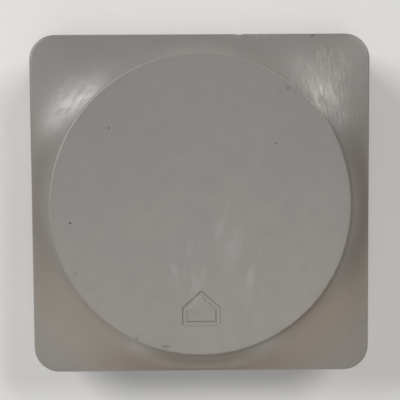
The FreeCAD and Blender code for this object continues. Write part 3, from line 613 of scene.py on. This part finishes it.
class Silicone(Paint):
    """Grey silicone skin: mottled, a little greasy, with specks, smudges, streaks, a worn rim, painted shadow
    in the rim's step, and painted light and shade on the face and flare.
    """

    def __init__(self, name):
        super().__init__(name)
        self.x, self.y = self.part("X"), self.part("Y")
        self.rim_radius = DISC_RADIUS / MM
        self.from_middle = self.radius()
        # masks: the upper side of the cover, the disc, and the flare around it
        self.face = self.step(self.part("Z"), EDGE_Z / MM - 0.6, EDGE_Z / MM)
        self.disc = self.step(self.from_middle, self.rim_radius - 0.35, self.rim_radius - 0.15, 1.0, 0.0)
        self.flare = self.times(self.math("SUBTRACT", 1.0, self.disc), self.face)
        self.patchy = self.noise(0.35, 4, 0.65)
        brushed = self.noise(1.5, 4, 0.7, self.moved((0, 0, 0), 4, (1.0, 0.14, 1.0)))
        self.streak = self.times(self.step(brushed, 0.42, 0.66), self.spot(21.5, 19.5, 7.0, 0.5), self.flare)

    def tones(self):
        """Base colour with broad and small mottling, painted light that makes it paler towards the bottom of
        the face, and painted light and shade on the flare.
        """
        broad = self.step(self.noise(0.045, 2), 0.35, 0.65)
        colour = self.mix(broad, (0.240, 0.233, 0.220), (0.254, 0.244, 0.226))
        colour = self.mix(self.step(self.patchy, 0.3, 0.75, 0.0, 0.5), colour, (0.225, 0.220, 0.210))
        # Painted light: the colour grows paler towards the bottom of the face.
        colour = self.mix(self.step(self.y, 24, -26), colour, (1.15, 1.13, 1.10), "MULTIPLY")
        # Painted light and shade on the flare.
        for x, y, size, slim, turn, tint in FLARE_LIGHT_AND_SHADE:
            painted_light_and_shade = self.times(self.spot(x, y, size, 0.7, turn, slim), self.flare)
            colour = self.mix(painted_light_and_shade, colour, tint, "MULTIPLY")
        return colour

    def rim(self, colour):
        """Painted shadow in the step on the lower right, and a pale worn line along the rim."""
        # Painted shadow: a dark band in the step just outside the rim, darkest on the lower right.
        step_shadow = self.step(self.from_middle, self.rim_radius + 0.9, self.rim_radius)
        lower_right = self.math("SUBTRACT", self.x, self.times(self.y, 0.8))
        step_shadow = self.times(step_shadow, self.step(lower_right, 4, 24), self.flare)
        colour = self.mix(step_shadow, colour, (0.66, 0.62, 0.57), "MULTIPLY")
        line = self.math("ABSOLUTE", self.math("SUBTRACT", self.from_middle, self.rim_radius - 0.12))
        line = self.step(line, 0.08, 0.3, 1.0, 0.0)
        broken = self.step(self.noise(1.1, 4, 0.65), 0.35, 0.65, 0.4, 1.0)
        faint_upper_right = self.step(self.math("ADD", self.x, self.y), 24, 4, 0.25, 1.0)
        line = self.times(line, broken, faint_upper_right, self.face)
        return self.mix(line, colour, (0.335, 0.316, 0.275))

    def smudges(self, colour):
        """Finger smudges and rubs on the lower half of the face."""
        smeared = self.noise(0.5, 4, 0.6, self.moved((0, 0, 0), -8, (1.0, 0.22, 1.0)))
        smudge = self.times(self.step(smeared, 0.5, 0.68), self.spot(3.0, -10.0, 7.5, 0.5, 0, 0.8), self.disc)
        colour = self.mix(self.times(smudge, 0.35), colour, (0.35, 0.34, 0.32))
        uneven = self.step(self.patchy, 0.35, 0.6)
        for x, y, size, slim, turn in FACE_RUBS:
            rub = self.times(self.spot(x, y, size, 0.8, turn, slim), uneven, 0.35)
            colour = self.mix(rub, colour, (0.37, 0.36, 0.34))
        return colour

    def scuffs(self, colour):
        """Dry streaks and rubs across the upper right of the flare, and scuffs along the upper edge."""
        colour = self.mix(self.times(self.streak, 0.35), colour, (0.36, 0.35, 0.32))
        rubbed = self.noise(0.9, 4, 0.7, self.moved((0, 0, 0), 6, (1.0, 0.25, 1.0)))
        near_rim = self.times(self.spot(19.4, 17.4, 2.2, 0.7, -47, 0.45), self.flare)
        rubbed = self.times(self.step(rubbed, 0.42, 0.62), near_rim, 0.65)
        colour = self.mix(rubbed, colour, (0.50, 0.47, 0.41))
        edge = self.step(self.y, HALF_WIDTH / MM - 1.1, HALF_WIDTH / MM - 0.5)
        edge = self.times(edge, self.step(self.x, 3, 6), self.step(self.x, 15, 12))
        scuff = self.times(edge, self.step(self.noise(1.3, 4, 0.7), 0.45, 0.6), self.face, 0.3)
        return self.mix(scuff, colour, (0.38, 0.37, 0.35))

    def specks(self, colour):
        """Specks, small marks and fine dust."""
        for x, y, size, slim, turn, strength, tint in SPECKS:
            speck = self.times(self.spot(x, y, size, 0.4, turn, slim), self.face, strength)
            colour = self.mix(speck, colour, tint)
        dust = self.step(self.noise(3.2, 2, 0.5), 0.74, 0.8)
        return self.mix(self.times(dust, 0.3), colour, (0.42, 0.41, 0.39))

    def relief(self):
        """Fine grain, faint unevenness, raised streaks and the scratches of the upper left flare."""
        grain = self.noise(6.0, 3, 0.6)
        scratch = self.noise(1.6, 5, 0.75, self.moved((0, 0, 0), -43, (1.0, 0.16, 1.0)))
        scratch = self.times(self.step(scratch, 0.5, 0.66), self.spot(-22.5, 17.5, 6.5, 0.5, 45, 1.6), 0.8)
        height = self.math("SUBTRACT", self.times(grain, 0.25), scratch)
        height = self.math("ADD", height, self.times(self.streak, 2.0))
        return self.math("ADD", height, self.times(self.patchy, 0.9))


def silicone():
    paint = Silicone("grey_silicone")
    colour = paint.tones()
    for layer in (paint.rim, paint.smudges, paint.scuffs, paint.specks):
        colour = layer(colour)
    shine = paint.step(paint.patchy, 0.25, 0.75, 0.27, 0.34)
    shine = paint.math("ADD", shine, paint.times(paint.streak, 0.06))
    shine = paint.math("ADD", shine, paint.times(paint.disc, 0.06))
    paint.set(Base_Color=colour, Roughness=shine, IOR=1.5)
    paint.bump(paint.relief(), 0.012)
    return paint.material


def moulded(name, light, dark, rough, grain_size=7.0, relief=0.012):
    """Moulded plastic or rubber with a fine spark-eroded grain and slight rubbing."""
    paint = Paint(name)
    grain = paint.noise(grain_size, 3, 0.6)
    cloud = paint.noise(0.2, 3)
    colour = paint.mix(paint.step(cloud, 0.3, 0.7), dark, light)
    rubbed = paint.step(paint.noise(0.9, 5, 0.75), 0.62, 0.8)
    worn = tuple(min(1, part * 1.5 + 0.01) for part in light)
    colour = paint.mix(paint.times(rubbed, 0.08), colour, worn)
    paint.set(Base_Color=colour, Roughness=paint.step(grain, 0.3, 0.7, rough - 0.06, rough + 0.06))
    paint.bump(grain, relief)
    return paint.material


def metal(name, light, dark, rough, stretch=(1, 1, 1), scale=4.0):
    """Metal with drawn or turned grain, fine scratches and slight tarnish."""
    paint = Paint(name)
    grain = paint.noise(scale, 4, 0.7, paint.moved((0, 0, 0), 0, stretch))
    tarnish = paint.noise(0.4, 4, 0.6)
    colour = paint.mix(paint.step(tarnish, 0.35, 0.7), light, dark)
    paint.set(Base_Color=colour, Roughness=paint.step(grain, 0.3, 0.7, rough - 0.08, rough + 0.1))
    paint.set(Metallic=1.0)
    paint.bump(grain, 0.004)
    return paint.material


def cell_metal():
    """Nickel plated can with turned rings."""
    paint = Paint("cell_steel")
    rings = paint.math("SINE", paint.times(paint.radius(), 42.0))
    tarnish = paint.noise(0.3, 4, 0.6)
    colour = paint.mix(paint.step(tarnish, 0.3, 0.7), (0.66, 0.65, 0.62), (0.52, 0.51, 0.49))
    paint.set(Base_Color=colour, Roughness=paint.step(rings, -1, 1, 0.22, 0.34))
    paint.set(Metallic=1.0)
    paint.bump(rings, 0.003)
    return paint.material


def board():
    """Green solder mask over copper tracks."""
    paint = Paint("board_laminate")
    brick = paint.tree.nodes.new("ShaderNodeTexBrick")
    paint.put(paint.moved((0, 0, 0), 45, (1, 1, 1)), brick.inputs["Vector"])
    brick.inputs["Scale"].default_value = 0.35
    brick.inputs["Mortar Size"].default_value = 0.035
    track = paint.step(brick.outputs["Fac"], 0.3, 0.7)
    weave = paint.noise(2.5, 2)
    colour = paint.mix(track, (0.012, 0.085, 0.032), (0.03, 0.16, 0.06))
    colour = paint.mix(paint.times(paint.step(weave, 0.3, 0.7), 0.25), colour, (0.02, 0.10, 0.05))
    paint.set(Base_Color=colour, Roughness=paint.step(weave, 0.3, 0.7, 0.28, 0.4))
    paint.bump(track, 0.03)
    return paint.material


def ceramic(name, light, dark):
    """Speckled ceramic of the small board parts."""
    paint = Paint(name)
    speckle = paint.noise(5.0, 4, 0.7)
    colour = paint.mix(paint.step(speckle, 0.35, 0.65), dark, light)
    paint.set(Base_Color=colour, Roughness=paint.step(speckle, 0.3, 0.7, 0.4, 0.6))
    paint.bump(speckle, 0.01)
    return paint.material


def make_materials():
    """The material of every slot, by name."""
    return {
        "grey_silicone": silicone(),
        "grey_plastic": moulded("grey_plastic", (0.32, 0.32, 0.315), (0.27, 0.27, 0.265), 0.45),
        "dark_plastic": moulded("dark_plastic", (0.075, 0.075, 0.078), (0.055, 0.055, 0.058), 0.5),
        "dark_silicone": moulded("dark_silicone", (0.05, 0.05, 0.052), (0.036, 0.036, 0.038), 0.66, 9.0),
        "black_plastic": moulded("black_plastic", (0.024, 0.024, 0.025), (0.016, 0.016, 0.017), 0.55, 12.0),
        "white_plastic": moulded("white_plastic", (0.74, 0.73, 0.68), (0.66, 0.65, 0.60), 0.3, 6.0, 0.004),
        "spring_steel": metal("spring_steel", (0.62, 0.62, 0.60), (0.48, 0.47, 0.45), 0.3, (6, 6, 0.6)),
        "screw_steel": metal("screw_steel", (0.42, 0.42, 0.43), (0.28, 0.28, 0.29), 0.38),
        "cell_steel": cell_metal(),
        "tinned_metal": metal("tinned_metal", (0.70, 0.70, 0.68), (0.55, 0.55, 0.53), 0.32, (1, 8, 1)),
        "board_laminate": board(),
        "pale_ceramic": ceramic("pale_ceramic", (0.72, 0.70, 0.64), (0.62, 0.60, 0.54)),
        "tan_ceramic": ceramic("tan_ceramic", (0.42, 0.28, 0.15), (0.33, 0.21, 0.11)),
    }


def dress(materials):
    """Give every CAD node and every new piece the material of its slot."""
    slots = {row["node"]: row["material_slot"] for row in frame["record"]["subparts"]}
    for name, node in frame["nodes"].items():
        node.data.materials.clear()
        node.data.materials.append(materials[slots[name]])
    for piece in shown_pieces():
        if "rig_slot" in piece:
            piece.data.materials.clear()
            piece.data.materials.append(materials[piece["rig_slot"]])


# ---------------------------------------------------------------- floor, light and camera

def make_floor():
    """Plain pale floor just under the object."""
    paint = Paint("floor")
    cloud = paint.noise(0.01, 2)
    colour = paint.mix(paint.step(cloud, 0.3, 0.7), (0.78, 0.77, 0.75), (0.82, 0.81, 0.79))
    paint.set(Base_Color=colour, Roughness=0.8)
    mesh_bm = bmesh.new()
    bmesh.ops.create_grid(mesh_bm, x_segments=8, y_segments=8, size=1.5)
    mesh = bpy.data.meshes.new("floor")
    mesh_bm.to_mesh(mesh)
    mesh_bm.free()
    mesh.materials.append(paint.material)
    floor = bpy.data.objects.new("floor", mesh)
    floor.location.z = CAD_BOX[0].z - 0.02 * MM
    bpy.context.scene.collection.objects.link(floor)


def make_light(name, azimuth, from_above, distance, width, height, power, colour=(1, 1, 1)):
    """A softbox that faces the object; azimuth is measured from +X, from_above from +Z, in degrees."""
    data = bpy.data.lights.new(name, "AREA")
    data.shape = "RECTANGLE"
    data.size = width
    data.size_y = height
    data.energy = power
    data.color = colour
    lamp = bpy.data.objects.new(name, data)
    bpy.context.scene.collection.objects.link(lamp)
    turn, tilt = math.radians(azimuth), math.radians(from_above)
    away = Vector((math.sin(tilt) * math.cos(turn), math.sin(tilt) * math.sin(turn), math.cos(tilt)))
    lamp.location = Vector((0, 0, EDGE_Z)) + away * distance
    lamp.rotation_euler = away.to_track_quat("Z", "Y").to_euler()


def make_lights():
    """Two windows that light the flare's upper corners, a broad lamp overhead, a low fill and a dim room."""
    make_light("window_left", 147, 54, 0.6, 0.30, 0.13, 2.0, (1.0, 0.99, 0.98))
    make_light("window_right", 40, 48, 0.6, 0.30, 0.12, 1.3, (1.0, 0.98, 0.95))
    make_light("overhead", 270, 14, 0.8, 0.5, 0.5, 1.3)
    make_light("low_fill", 270, 78, 0.6, 0.6, 0.2, 0.6)
    world = bpy.data.worlds.new("studio")
    world.use_nodes = True
    background = world.node_tree.nodes["Background"]
    background.inputs["Color"].default_value = (0.95, 0.97, 1.0, 1)
    background.inputs["Strength"].default_value = 0.14
    bpy.context.scene.world = world


def make_camera():
    """Looks almost straight down on the face, from a hand's breadth, leaning slightly towards its top."""
    distance = 110 * MM
    tilt, yaw, roll = math.radians(2.6), math.radians(0.38), math.radians(0.39)
    turn = Matrix.Rotation(-tilt, 4, "X") @ Matrix.Rotation(-yaw, 4, "Y") @ Matrix.Rotation(-roll, 4, "Z")
    aim = Vector((-0.1 * MM, 0.8 * MM, EDGE_Z))
    data = bpy.data.cameras.new("camera")
    data.sensor_width = 36
    data.lens = 55.8
    data.clip_start = 0.01
    data.clip_end = 10
    camera = bpy.data.objects.new("camera", data)
    bpy.context.scene.collection.objects.link(camera)
    camera.matrix_world = Matrix.Translation(aim) @ turn @ Matrix.Translation((0, 0, distance))
    bpy.context.scene.camera = camera


make_cover()
make_springs()
make_dome()
soften_edges(0.12 * MM, "back_cover", "battery_door", "key_plate", "chassis", "switch_housing")
make_grip_pad()
dress(make_materials())
make_floor()
make_lights()
make_camera()
bpy.context.scene.view_settings.view_transform = "Standard"
